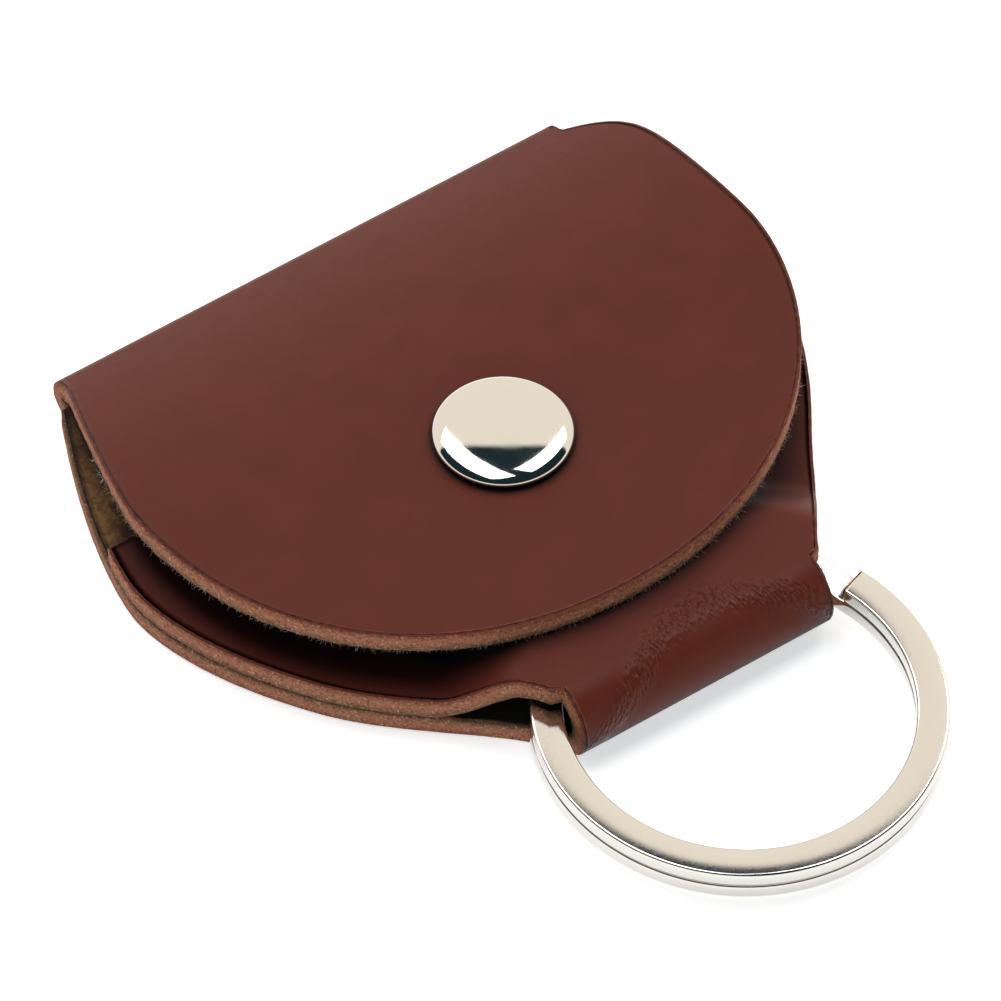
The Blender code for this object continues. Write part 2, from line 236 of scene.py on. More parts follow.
def to_world(points):
    """Millimetres from the fold's axis to metres in the frame."""
    return np.asarray(points) * MM + np.array([0.0, FOLD.y, 0.0])


def resample(points, count):
    """That many points along a line of points, evenly spaced."""
    steps = np.linalg.norm(np.diff(points, axis=0), axis=1)
    length = np.concatenate([[0], np.cumsum(steps)])
    wanted = np.linspace(0, length[-1], count)
    return np.stack([np.interp(wanted, length, points[:, k]) for k in range(points.shape[1])], axis=1)


# ---- leather sheets --------------------------------------------------------


def ring_of(rows, columns):
    """The grid indices of the outermost ring, once round."""
    top = [(0, c) for c in range(columns)]
    right = [(r, columns - 1) for r in range(1, rows)]
    bottom = [(rows - 1, c) for c in range(columns - 2, -1, -1)]
    left = [(r, 0) for r in range(rows - 2, 0, -1)]
    return top + right + bottom + left


def grid_normals(grid, facing):
    """A unit normal at each grid point; facing is 1 or -1, for the side they point to."""
    across = np.gradient(grid, axis=1)
    along = np.gradient(grid, axis=0)
    normal = np.cross(across, along) * facing
    return normal / np.maximum(np.linalg.norm(normal, axis=2, keepdims=True), 1e-9)


def outward_directions(grid, normals, ring):
    """Away from the sheet, in its own plane; flush along the seam, which is row 0."""
    points = np.array([grid[i] for i in ring])
    tangent = np.roll(points, -1, axis=0) - np.roll(points, 1, axis=0)
    outward = np.cross(tangent, np.array([normals[i] for i in ring]))
    for k, (row, column) in enumerate(ring):
        if row == 0:
            side = {0: -1.0, grid.shape[1] - 1: 1.0}.get(column, 0.0)
            outward[k] = (side, 0.0, 0.0)
        else:
            outward[k] /= np.linalg.norm(outward[k])
            near = grid[min(max(row, 2), grid.shape[0] - 3), min(max(column, 2), grid.shape[1] - 3)]
            if np.dot(outward[k], grid[row, column] - near) < 0:
                outward[k] = -outward[k]
    return outward


def roughen(strip, scale, octaves):
    """Fractal noise at each place on the strip."""
    return np.array([noise.fractal(Vector(p) * scale, 1.0, 2.0, octaves) for p in strip])


def leather_sheet(name, grid, facing, along_sign, materials):
    """A sheet of leather below a grid of points on its grain side, with fibrous cut edges."""
    rows, columns = grid.shape[:2]
    normals = grid_normals(grid, facing)
    ring = ring_of(rows, columns)
    outward = outward_directions(grid, normals, ring)

    step = np.linalg.norm(np.diff(grid, axis=0), axis=2)
    along = np.concatenate([np.zeros((1, columns)), np.cumsum(step, axis=0)]) * along_sign
    strip = np.stack([grid[..., 0], along, np.zeros_like(along)], axis=2)

    flesh_strip = strip + np.array([0.0, 0.0, LEATHER])
    relief = roughen(flesh_strip.reshape(-1, 3), 1.3, 3).reshape(rows, columns, 1) * FLESH_RELIEF
    flesh = grid - normals * (LEATHER + relief)

    ring_points = np.array([grid[i] for i in ring])
    ring_normals = np.array([normals[i] for i in ring])
    ring_strip = np.array([strip[i] for i in ring])
    points = [grid.reshape(-1, 3), flesh.reshape(-1, 3)]
    places = [strip.reshape(-1, 3), flesh_strip.reshape(-1, 3)]
    for out, depth in EDGE_PROFILE:
        place = ring_strip + outward * out + np.array([0.0, 0.0, depth])
        fray = roughen(place, 1.1, 4)[:, None] * EDGE_FRAY * (depth / LEATHER + 0.15)
        points.append(ring_points + outward * (out + fray) - ring_normals * depth)
        places.append(place)

    def grid_index(layer, i):
        return layer * rows * columns + i[0] * columns + i[1]

    faces = []
    slots = []
    for r in range(rows - 1):
        for c in range(columns - 1):
            corners = [(r, c), (r + 1, c), (r + 1, c + 1), (r, c + 1)]
            if facing > 0:
                corners.reverse()
            faces.append([grid_index(0, i) for i in corners])
            slots.append(0)
            faces.append([grid_index(1, i) for i in reversed(corners)])
            slots.append(2)

    count = len(ring)
    first = 2 * rows * columns
    rings = [[grid_index(0, i) for i in ring]]
    for level in range(len(EDGE_PROFILE)):
        rings.append([first + level * count + k for k in range(count)])
    rings.append([grid_index(1, i) for i in ring])
    for level, (upper, lower) in enumerate(zip(rings, rings[1:])):
        for k in range(count):
            n = (k + 1) % count
            quad = [upper[k], upper[n], lower[n], lower[k]]
            if facing < 0:
                quad.reverse()
            faces.append(quad)
            slots.append(0 if level < GRAIN_WRAP else 1)

    points = np.concatenate(points)
    mesh = bpy.data.meshes.new(name)
    mesh.from_pydata([tuple(p) for p in to_world(points)], [], faces)
    for material in materials:
        mesh.materials.append(material)
    mesh.polygons.foreach_set("material_index", slots)
    mesh.shade_smooth()
    store_places(mesh, np.concatenate(places), points, ring_points, ring)
    mesh.validate()
    mesh.update()
    obj = bpy.data.objects.new(name, mesh)
    bpy.context.scene.collection.objects.link(obj)
    return obj


def store_places(mesh, places, points, ring_points, ring):
    """Each vertex keeps its place on the strip and how far it is from a cut edge."""
    attribute = mesh.attributes.new("strip", "FLOAT_VECTOR", "POINT")
    attribute.data.foreach_set("vector", places.astype(np.float32).ravel())
    tree = kdtree.KDTree(len(ring))
    for k, (row, _) in enumerate(ring):
        if row > 0:
            tree.insert(ring_points[k], k)
    tree.balance()
    reach = [tree.find(p)[2] for p in points]
    attribute = mesh.attributes.new("edge", "FLOAT", "POINT")
    attribute.data.foreach_set("value", np.array(reach, np.float32))


def flap_outline(side):
    """Half of the flap's cut edge in plan, from the fold to the tip."""
    widest = FLAP_RIGHT if side > 0 else FLAP_LEFT
    at_fold = FOLD_RIGHT if side > 0 else -FOLD_LEFT
    y = FLAP_START_Y + (FLAP_WIDEST_Y - FLAP_START_Y) * np.linspace(0, 1, 300) ** 1.5
    reach = np.clip((y - FLAP_WIDEST_Y) / -FLAP_WIDEST_Y, 0, 1) ** FLAP_SHOULDER[side]
    shoulder = np.stack([side * (widest - (widest - at_fold) * reach), y], axis=1)
    angle = np.linspace(0, math.pi / 2, 400)[1:]
    rounding = 2 / FLAP_ROUNDING[side]
    x = side * widest * np.abs(np.cos(angle)) ** rounding
    y = FLAP_WIDEST_Y + (FLAP_TIP_Y - FLAP_WIDEST_Y) * np.sin(angle) ** rounding
    return np.concatenate([shoulder, np.stack([x, y], axis=1)])


def inset_line(points, distance):
    """A plan line moved towards the inside, which lies to its left."""
    tangent = np.gradient(points, axis=0)
    tangent /= np.linalg.norm(tangent, axis=1, keepdims=True)
    return points + distance * np.stack([-tangent[:, 1], tangent[:, 0]], axis=1)


def coons_patch(top, bottom, left, right):
    """A grid between four edge lines; rows run from top to bottom."""
    v = np.linspace(0, 1, len(left))[:, None, None]
    u = np.linspace(0, 1, len(top))[None, :, None]
    ruled = (1 - v) * top[None] + v * bottom[None] + (1 - u) * left[:, None] + u * right[:, None]
    corners = (1 - u) * (1 - v) * top[0] + u * (1 - v) * top[-1]
    corners = corners + (1 - u) * v * bottom[0] + u * v * bottom[-1]
    return ruled - corners


def flap_grid():
    """Grain side from under the fold, round it and out to the flap's tip."""
    outline = np.concatenate([flap_outline(-1), flap_outline(1)[-2::-1]])
    outline = inset_line(outline, EDGE_INSET)
    outline[0, 1] = FLAP_START_Y
    outline[-1, 1] = FLAP_START_Y
    even = resample(outline, OUTLINE_POINTS)
    last = OUTLINE_POINTS - 1
    cut = int(FLAP_SIDE_SHARE * last)
    left = resample(even[: cut + 1], FLAP_ROWS)
    bottom = resample(even[cut : OUTLINE_POINTS - cut], FLAP_COLUMNS)
    right = resample(even[last - cut :], FLAP_ROWS)[::-1]
    top = np.linspace(outline[0], outline[-1], FLAP_COLUMNS)
    plan = coons_patch(top, bottom, left, right)
    height = flap_top(plan[..., 1])
    from_cap = np.hypot(plan[..., 0], plan[..., 1] - SNAP_Y)
    height = height - DIMPLE_DEPTH * (1 - smooth_step((from_cap - DIMPLE_RADIUS) / DIMPLE_SLOPE))
    flap = np.dstack([plan, height])

    lead = np.linspace(-1, 1, FLAP_COLUMNS)
    seam = (FOLD_LEFT + FOLD_RIGHT) / 2 + lead * ((FOLD_RIGHT - FOLD_LEFT) / 2 - EDGE_INSET)
    turn = []
    for step in range(FOLD_STEPS + 1):
        share = step / FOLD_STEPS
        angle = -math.pi / 2 + (math.pi - LEAN) * share
        x = seam + (top[:, 0] - seam) * share
        y = np.full(FLAP_COLUMNS, FOLD_OUTER * math.cos(angle))
        z = np.full(FLAP_COLUMNS, FOLD_Z + FOLD_OUTER * math.sin(angle))
        turn.append(np.stack([x, y, z], axis=1))
    start = turn[0].copy()
    start[:, 1] = SEAM_Y
    return np.concatenate([[start], turn[:-1], flap])


def body_grid():
    """Grain side from the seam along the back, round the loop and up to the pocket's mouth."""
    s = np.linspace(-1, 1, BODY_COLUMNS)
    rows = []
    for y in np.linspace(SEAM_Y, LOOP_Y, BACK_ROWS):
        x = body_centre(y) + s * (body_half_width(np.array(y)) - EDGE_INSET)
        rows.append(np.stack([x, np.full(BODY_COLUMNS, y), np.zeros(BODY_COLUMNS)], axis=1))
    for step in range(1, LOOP_STEPS):
        angle = math.pi * step / LOOP_STEPS
        y = LOOP_Y - LOOP_OUTER * math.sin(angle)
        z = LOOP_OUTER * (1 - math.cos(angle))
        x = TAB_OFFSET + s * (TAB_HALF_WIDTH - EDGE_INSET)
        rows.append(np.stack([x, np.full(BODY_COLUMNS, y), np.full(BODY_COLUMNS, z)], axis=1))
    for y in np.linspace(LOOP_Y, POCKET_MOUTH_Y - EDGE_INSET, POCKET_ROWS):
        x = body_centre(y) + s * (body_half_width(np.array(y)) - EDGE_INSET)
        y_row = np.full(BODY_COLUMNS, y)
        rows.append(np.stack([x, y_row, pocket_top(x, y_row)], axis=1))
    return np.array(rows)


# ---- material helpers ------------------------------------------------------

# How far a surface looks for others when painted shade darkens its colour in a narrow gap
GAP_REACH = 7.0 * MM
# The colour of the painted shade deep in a narrow gap
GAP_SHADE_COLOUR = (0.002, 0.005, 0.008)


class Paint:
    """Builds one material's nodes with short calls."""

    def __init__(self, name):
        self.material = bpy.data.materials.new(name)
        self.material.use_nodes = True
        self.tree = self.material.node_tree
        self.shader = self.tree.nodes["Principled BSDF"]

    def add(self, kind, inputs=(), **settings):
        node = self.tree.nodes.new(kind)
        for key, value in settings.items():
            setattr(node, key, value)
        for key, value in dict(inputs).items():
            self.feed(node.inputs[key], value)
        return node

    def feed(self, socket, value):
        if isinstance(value, bpy.types.NodeSocket):
            self.tree.links.new(value, socket)
        else:
            socket.default_value = value

    def shade(self, **inputs):
        for key, value in inputs.items():
            self.feed(self.shader.inputs[key.replace("_", " ")], value)

    def strip(self):
        return self.add("ShaderNodeAttribute", attribute_name="strip").outputs["Vector"]

    def edge(self):
        return self.add("ShaderNodeAttribute", attribute_name="edge").outputs["Fac"]

    def stretched(self, vector, scale):
        inputs = {0: vector, 1: scale}
        return self.add("ShaderNodeVectorMath", inputs, operation="MULTIPLY").outputs[0]

    def noise(self, vector, scale, detail=3.0, roughness=0.5, distortion=0.0):
        inputs = {"Vector": vector, "Scale": scale, "Detail": detail}
        inputs.update({"Roughness": roughness, "Distortion": distortion})
        return self.add("ShaderNodeTexNoise", inputs).outputs["Fac"]

    def cells(self, vector, scale, feature="DISTANCE_TO_EDGE"):
        node = self.add("ShaderNodeTexVoronoi", {"Vector": vector, "Scale": scale}, feature=feature)
        return node.outputs["Distance"]

    def span(self, value, low, high, out_low=0.0, out_high=1.0):
        inputs = {"Value": value, "From Min": low, "From Max": high}
        inputs.update({"To Min": out_low, "To Max": out_high})
        node = self.add("ShaderNodeMapRange", inputs, interpolation_type="SMOOTHSTEP")
        return node.outputs["Result"]

    def sum(self, a, b, operation="ADD"):
        return self.add("ShaderNodeMath", {0: a, 1: b}, operation=operation).outputs[0]

    def mix(self, share, a, b):
        node = self.add("ShaderNodeMix", data_type="RGBA")
        self.feed(node.inputs["Factor"], share)
        for socket, value in ((node.inputs[6], a), (node.inputs[7], b)):
            self.feed(socket, (*value, 1.0) if isinstance(value, tuple) else value)
        return node.outputs[2]

    def painted_gap_shade(self, colour):
        """Painted shade: darken the colour towards a dark shade where the surface hides in a narrow gap.
        """
        node = self.add("ShaderNodeAmbientOcclusion", {"Distance": GAP_REACH}, samples=8)
        return self.mix(self.span(node.outputs["AO"], 0.36, 0.92), GAP_SHADE_COLOUR, colour)

    def bump(self, height, distance, strength=1.0, below=None):
        inputs = {"Height": height, "Distance": distance, "Strength": strength}
        if below is not None:
            inputs["Normal"] = below
        return self.add("ShaderNodeBump", inputs).outputs["Normal"]


def split_vector(paint, vector):
    return paint.add("ShaderNodeSeparateXYZ", {"Vector": vector}).outputs


# ---- leather materials -----------------------------------------------------

GRAIN_BROWN = (0.112, 0.0205, 0.0110)
GRAIN_DARK = (0.101, 0.0180, 0.0095)
GRAIN_WORN = (0.30, 0.105, 0.07)


def grain_material():
    """Smooth dyed grain: faint mottling, fine pores, creases on the loop's crest, and painted shade in
    narrow gaps.
    """
    paint = Paint("leather_grain")
    strip = paint.strip()
    mottle = paint.noise(strip, 0.16, 5.0, 0.6)
    colour = paint.mix(paint.span(mottle, 0.3, 0.7), GRAIN_DARK, GRAIN_BROWN)
    wear = paint.span(paint.edge(), 0.0, 0.25, 0.7, 0.0)
    worn = paint.sum(wear, paint.span(paint.noise(strip, 1.4), 0.3, 0.7), "MULTIPLY")
    colour = paint.mix(worn, colour, GRAIN_WORN)
    # Painted shade: the grain's colour darkens where it hides in a narrow gap
    colour = paint.painted_gap_shade(colour)

    pores = paint.cells(strip, 2.4)
    fine = paint.noise(strip, 5.5, 4.0, 0.65)
    height = paint.sum(paint.sum(pores, 0.5, "MULTIPLY"), fine)
    normal = paint.bump(height, 0.018 * MM, 0.55)

    along = split_vector(paint, strip)["Y"]
    before = paint.span(along, LOOP_CREST - 2.4, LOOP_CREST - 0.6)
    after = paint.span(along, LOOP_CREST + 0.2, LOOP_CREST + 2.6, 1.0, 0.0)
    mask = paint.sum(before, after, "MULTIPLY")
    creases = paint.cells(paint.stretched(strip, (2.8, 1.5, 1.0)), 1.0, "F1")
    folds = paint.noise(paint.stretched(strip, (2.2, 1.1, 1.0)), 1.0, 3.0, 0.6, 0.8)
    creases = paint.sum(creases, folds)
    creased = paint.sum(paint.span(creases, 0.45, 1.25), mask, "MULTIPLY")
    normal = paint.bump(creased, 0.16 * MM, 1.0, normal)

    gloss = paint.span(paint.noise(strip, 0.8, 4.0, 0.6), 0.25, 0.75, 0.42, 0.50)
    gloss = paint.sum(gloss, paint.span(mask, 0.0, 1.0, 0.0, -0.24))
    paint.shade(Base_Color=colour, Roughness=gloss, Normal=normal, Specular_IOR_Level=0.15)
    return paint.material


def cut_edge_material():
    """Layered fibres of a die-cut edge, dyed at the grain and bare lower down."""
    paint = Paint("leather_cut_edge")
    strip = paint.strip()
    depth = split_vector(paint, strip)["Z"]
    fibres = paint.noise(paint.stretched(strip, (1.0, 1.0, 3.0)), 1.3, 5.0, 0.65)
    specks = paint.noise(strip, 3.6, 4.0, 0.7)
    wander = paint.sum(depth, paint.span(fibres, 0.25, 0.75, -0.35, 0.35))
    colour = paint.mix(paint.span(wander, 0.15, 0.7), (0.24, 0.078, 0.042), (0.35, 0.150, 0.086))
    colour = paint.mix(paint.span(wander, 1.1, 1.9), colour, (0.15, 0.080, 0.046))
    colour = paint.mix(paint.span(specks, 0.55, 0.68, 0.0, 0.85), colour, (0.58, 0.38, 0.26))
    colour = paint.mix(paint.span(specks, 0.46, 0.34, 0.0, 0.85), colour, (0.08, 0.030, 0.020))
    normal = paint.bump(fibres, 0.22 * MM, 1.0)
    normal = paint.bump(specks, 0.10 * MM, 1.0, normal)
    paint.shade(Base_Color=colour, Normal=normal, Roughness=0.9, Specular_IOR_Level=0.2)
    return paint.material


def suede_material():
    """The flesh side: olive-brown nap with darker clumps, and painted shade in narrow gaps."""
    paint = Paint("leather_suede")
    strip = paint.strip()
    clumps = paint.noise(strip, 0.9, 4.0, 0.6, 0.8)
    nap = paint.noise(paint.stretched(strip, (1.0, 0.6, 1.0)), 4.0, 4.0, 0.7)
    colour = paint.mix(paint.span(clumps, 0.35, 0.65), (0.17, 0.075, 0.030), (0.34, 0.175, 0.068))
    colour = paint.mix(paint.span(nap, 0.55, 0.75, 0.0, 0.6), colour, (0.42, 0.27, 0.13))
    colour = paint.mix(paint.span(nap, 0.42, 0.28, 0.0, 0.7), colour, (0.07, 0.028, 0.015))
    # Painted shade: the nap's colour darkens where it hides in a narrow gap
    colour = paint.painted_gap_shade(colour)
    normal = paint.bump(clumps, 0.12 * MM, 0.7)
    normal = paint.bump(nap, 0.07 * MM, 0.9, normal)
    paint.shade(Base_Color=colour, Normal=normal, Roughness=0.95, Specular_IOR_Level=0.15)
    paint.shade(Sheen_Weight=0.25, Sheen_Roughness=0.5, Sheen_Tint=(0.8, 0.65, 0.45, 1.0))
    return paint.material


# ---- metal and small materials ---------------------------------------------

NICKEL = (0.70, 0.68, 0.645)


def place_of(paint):
    """Position on a rigid piece, in millimetres."""
    coordinates = paint.add("ShaderNodeTexCoord").outputs["Object"]
    return paint.stretched(coordinates, (1 / MM, 1 / MM, 1 / MM))


def bright_nickel():
    """Polished plating with a few faint pits and hairlines."""
    paint = Paint("bright_nickel")
    place = place_of(paint)
    pits = paint.span(paint.noise(place, 2.2, 4.0, 0.6), 0.66, 0.78)
    haze = paint.span(paint.noise(place, 0.5, 3.0), 0.3, 0.7, 0.045, 0.085)
    colour = paint.mix(paint.sum(pits, 0.35, "MULTIPLY"), NICKEL, (0.35, 0.33, 0.30))
    normal = paint.bump(paint.noise(place, 1.3, 3.0), 0.004 * MM, 0.5)
    paint.shade(Base_Color=colour, Metallic=1.0, Roughness=haze, Normal=normal)
    return paint.material


def satin_nickel(name, roughness, colour=NICKEL):
    """Tumbled plating: soft reflections and fine marks."""
    paint = Paint(name)
    place = place_of(paint)
    marks = paint.noise(place, 4.5, 4.0, 0.65)
    specks = paint.span(paint.noise(place, 3.1, 2.0, 0.5), 0.70, 0.76, 0.0, 0.12)
    tone = paint.mix(specks, colour, tuple(0.6 * c for c in colour))
    gloss = paint.span(marks, 0.3, 0.7, roughness - 0.02, roughness + 0.03)
    normal = paint.bump(marks, 0.003 * MM, 0.6)
    paint.shade(Base_Color=tone, Metallic=1.0, Roughness=gloss, Normal=normal)
    return paint.material


def glue_material():
    paint = Paint("contact_glue")
    place = place_of(paint)
    tone = paint.mix(paint.noise(place, 1.5), (0.30, 0.17, 0.07), (0.42, 0.28, 0.13))
    normal = paint.bump(paint.noise(place, 2.5), 0.05 * MM, 0.5)
    paint.shade(Base_Color=tone, Roughness=0.45, Normal=normal)
    return paint.material


def lint_material():
    paint = Paint("lint")
    place = place_of(paint)
    tone = paint.mix(paint.span(paint.noise(place, 0.6), 0.4, 0.6), (0.42, 0.30, 0.22), (0.62, 0.61, 0.60))
    paint.shade(Base_Color=tone, Roughness=0.9, Specular_IOR_Level=0.1)
    return paint.material


# ---- turned and swept metal ------------------------------------------------


def new_object(name, mesh, material):
    mesh.materials.append(material)
    mesh.shade_smooth()
    obj = bpy.data.objects.new(name, mesh)
    bpy.context.scene.collection.objects.link(obj)
    return obj


def rounded(profile, radius, steps=4):
    """A closed (radius, height) profile with each corner off the axis rounded."""
    made = []
    count = len(profile)
    for k, corner in enumerate(profile):
        here = np.array(corner)
        before = np.array(profile[k - 1]) - here
        after = np.array(profile[(k + 1) % count]) - here
        if corner[0] == 0:
            made.append(here)
            continue
        room = min(np.linalg.norm(before), np.linalg.norm(after)) * 0.45
        cut = min(radius, room)
        start = here + before / np.linalg.norm(before) * cut
        end = here + after / np.linalg.norm(after) * cut
        for step in range(steps + 1):
            t = step / steps
            made.append((1 - t) ** 2 * start + 2 * t * (1 - t) * here + t * t * end)
    return made


def turned(name, profile, material, segments=96):
    """A closed profile turned about the snap's axis."""
    verts = []
    rings = []
    for radius, height in profile:
        if radius < 1e-6:
            rings.append([len(verts)] * segments)
            verts.append((0.0, SNAP_Y, height))
            continue
        rings.append([len(verts) + k for k in range(segments)])
        for k in range(segments):
            angle = 2 * math.pi * k / segments
            verts.append((radius * math.cos(angle), SNAP_Y + radius * math.sin(angle), height))
    faces = []
    for upper, lower in zip(rings, rings[1:] + rings[:1]):
        if upper[0] == upper[1] and lower[0] == lower[1]:
            continue
        for k in range(segments):
            n = (k + 1) % segments
            quad = [upper[k], lower[k], lower[n], upper[n]]
            faces.append([v for i, v in enumerate(quad) if v not in quad[:i]])
    mesh = bpy.data.meshes.new(name)
    mesh.from_pydata([tuple(p) for p in to_world(verts)], [], faces)
    return new_object(name, mesh, material)


CAP_ROLL = 0.32
CAP_SHEET = 0.35


def cap_piece(material):
    """The domed cap, its rim rolled in under itself."""
    radius = cap_high.x
    base = cap_low.z
    height = cap_high.z - base
    shoulder = base + CAP_ROLL
    dome = []
    for step in range(25):
        angle = math.pi / 2 * step / 24
        dome.append((radius * math.sin(angle), shoulder + (height - CAP_ROLL) * math.cos(angle)))
    lip = []
    for step in range(1, 9):
        angle = math.pi / 2 * step / 8
        lip.append((radius - CAP_ROLL * (1 - math.cos(angle)), shoulder - CAP_ROLL * math.sin(angle)))
    under = [(radius - 1.1, base), (radius - 1.1, shoulder), (radius - 0.4, shoulder)]
    inner = [(r * (radius - 0.4) / radius, z - CAP_SHEET) for r, z in dome[20:0:-1]]
    inner.append((0.0, cap_high.z - CAP_SHEET))
    dome[0] = (0.0, cap_high.z)
    return turned("snap_cap", dome + lip + under + inner, material, 128)


def cap_post_piece(material):
    low, high = node_box("cap_post")
    head = high.x
    stem = 1.6
    top = high.z
    profile = [
        (0, top),
        (head, top),
        (head, top - 0.35),
        (stem, top - 0.35),
        (stem, low.z + 0.25),
        (stem + 0.8, low.z + 0.25),
        (stem + 0.8, low.z),
        (0, low.z),
    ]
    return turned("snap_cap_post", rounded(profile, 0.12), material)


def socket_piece(material):
    top = socket_high.z
    bottom = socket_low.z
    outer = socket_high.x
    bore = 2.75
    spring_low, spring_high = node_box("socket_spring")
    profile = [
        (1.75, top),
        (outer - 0.3, top),
        (outer, top - 0.3),
        (outer, bottom + 0.5),
        (outer - 0.5, bottom),
        (bore + 0.3, bottom),
        (bore, bottom + 0.3),
        (bore, spring_low.z - 0.15),
        (bore + 0.6, spring_low.z - 0.15),
        (bore + 0.6, spring_high.z + 0.15),
        (bore, spring_high.z + 0.15),
        (bore, top - 0.3),
        (1.75, top - 0.3),
    ]
    return turned("snap_socket_cup", rounded(profile, 0.22), material)


def stud_piece(material):
    foot = stud_low.z
    head = 1.95
    neck = 1.7
    flange = stud_high.x
    profile = [
        (0, foot + 2.25),
        (head - 0.45, foot + 2.25),
        (head, foot + 1.9),
        (head, foot + 1.65),
        (neck, foot + 1.3),
        (neck, foot + 0.7),
        (neck + 0.3, foot + 0.5),
        (flange, foot + 0.4),
        (flange, foot),
        (1.25, foot),
        (1.25, foot + 1.85),
        (0, foot + 1.85),
    ]
    return turned("snap_stud_turned", rounded(profile, 0.2), material)


def stud_post_piece(material):
    low, high = node_box("stud_post")
    barrel = 1.1
    profile = [
        (0, high.z),
        (barrel, high.z),
        (barrel, low.z + 0.45),
        (high.x, low.z + 0.45),
        (high.x, low.z + 0.2),
        (high.x - 0.4, low.z),
        (0, low.z),
    ]
    return turned("snap_stud_post", rounded(profile, 0.14), material)


def swept(name, path, rights, ups, section, material):
    """A closed section of (right, up) points carried along a path, with flat ends."""
    verts = []
    count = len(section)
    for point, right, up in zip(path, rights, ups):
        verts += [point + right * a + up * b for a, b in section]
    faces = []
    for k in range(len(path) - 1):
        for i in range(count):
            n = (i + 1) % count
            faces.append([k * count + i, k * count + n, (k + 1) * count + n, (k + 1) * count + i])
    faces.append(list(range(count))[::-1])
    faces.append([(len(path) - 1) * count + i for i in range(count)])
    mesh = bpy.data.meshes.new(name)
    mesh.from_pydata([tuple(p) for p in to_world(verts)], [], faces)
    mesh.update()
    form = bmesh.new()
    form.from_mesh(mesh)
    bmesh.ops.recalc_face_normals(form, faces=form.faces)
    form.to_mesh(mesh)
    form.free()
    obj = new_object(name, mesh, material)
    for face in mesh.polygons:
        if len(face.vertices) > 4:
            face.use_smooth = False
    return obj


def ring_piece(material):
    """The flat split ring: two level turns joined by one ramp."""
    radius = (ring_high.x - ring_low.x) / 2 + RING_BULGE
    low = -(RING_TURN_HEIGHT + RING_TURN_GAP) / 2
    ramp_start = RING_END + 2 * math.pi
    start = ramp_start + RING_RAMP - 2 * math.pi + math.radians(2)
    angles = np.linspace(start, RING_END + 4 * math.pi, 560)
    climb = smooth_step((angles - ramp_start) / RING_RAMP)
    middle = radius - RING_WIDTH / 2
    flat = np.stack([np.cos(angles), np.sin(angles), np.zeros_like(angles)], axis=1)
    tilt = math.atan2(-joints["ring_turn"]["axis"][1], joints["ring_turn"]["axis"][2])
    cos, sin = math.cos(tilt), math.sin(tilt)
    lean = np.array([[1, 0, 0], [0, cos, -sin], [0, sin, cos]])
    up = lean @ np.array([0.0, 0.0, 1.0])
    centre = np.array([TAB_OFFSET, RING_Y, RING.z / MM])
    rights = flat @ lean.T
    path = centre + rights * middle + np.outer(low - 2 * low * climb, up)
    across = RING_WIDTH / 2
    high = RING_TURN_HEIGHT / 2
    square = [(across, high), (across, -high), (-across, -high), (-across, high)]
    section = rounded(square, 0.3, 4)
    return swept("key_ring", path, rights, [up] * len(path), section, material)


# ---- loose fibres ----------------------------------------------------------

LINT_LENGTH = 0.34
LINT_SPREAD = 0.8
LINT_START_Y = -9.0


def lint_piece(name, roots, material):
    """Short hairs: each is a thin three-sided tube that bends as it goes."""
    random.seed(SEED)
    verts = []
    faces = []
    for root, lean in roots:
        point = np.array(root, float)
        way = np.array(lean, float) + np.array([random.gauss(0, LINT_SPREAD) for _ in range(3)])
        way /= np.linalg.norm(way)
        bend = np.array([random.gauss(0, 0.5) for _ in range(3)])
        reach = LINT_LENGTH * random.uniform(0.35, 1.4)
        thick = random.uniform(0.009, 0.018)
        side = np.cross(way, (0.3, 0.5, 0.8))
        side /= np.linalg.norm(side)
        other = np.cross(way, side)
        first = len(verts)
        for step in range(5):
            t = step / 4
            here = point + way * reach * t + bend * reach * t * t * 0.6
            size = thick * (1 - 0.7 * t)
            for k in range(3):
                angle = 2 * math.pi * k / 3
                verts.append(here + size * (math.cos(angle) * side + math.sin(angle) * other))
        for step in range(4):
            for k in range(3):
                a = first + step * 3 + k
                b = first + step * 3 + (k + 1) % 3
                faces.append([a, b, b + 3, a + 3])
        faces.append([first + 2, first + 1, first])
        faces.append([first + 12, first + 13, first + 14])
    mesh = bpy.data.meshes.new(name)
    mesh.from_pydata([tuple(p) for p in to_world(verts)], [], faces)
    return new_object(name, mesh, material)


def flap_lint_roots():
    """Along the flesh side of the flap's cut edge, away from the hinge."""
    random.seed(SEED + 1)
    outline = np.concatenate([flap_outline(-1), flap_outline(1)[-2::-1]])
    line = resample(outline, 1400)
    tangent = np.gradient(line, axis=0)
    tangent /= np.linalg.norm(tangent, axis=1, keepdims=True)
    roots = []
    for (x, y), (tx, ty) in zip(line, tangent):
        if y > LINT_START_Y:
            continue
        out = (ty, -tx)
        depth = LEATHER - abs(random.gauss(0, 0.16))
        inset = random.uniform(-0.05, 0.25)
        z = float(flap_top(y)) - depth
        roots.append(((x - out[0] * inset, y - out[1] * inset, z), (out[0], out[1], -0.5)))
    return roots


# ---- stage -----------------------------------------------------------------

VIEW_AZIMUTH = math.radians(-34.61)
VIEW_ELEVATION = math.radians(50.36)
VIEW_DISTANCE = 1.0462
VIEW_LENS = 431.6
VIEW_AIM = Vector((0.00044, FOLD.y - 0.029255, 0.0))
AWAY = Vector((-math.sin(VIEW_AZIMUTH), math.cos(VIEW_AZIMUTH), 0.0))
RIGHT = Vector((AWAY.y, -AWAY.x, 0.0))
FLOOR_GLOW = 0.62
SKY_BRIGHT = (1.12, 1.02, 0.89)
SKY_DARK = (0.012, 0.030, 0.036)
CEILING_EDGE = math.radians(28)


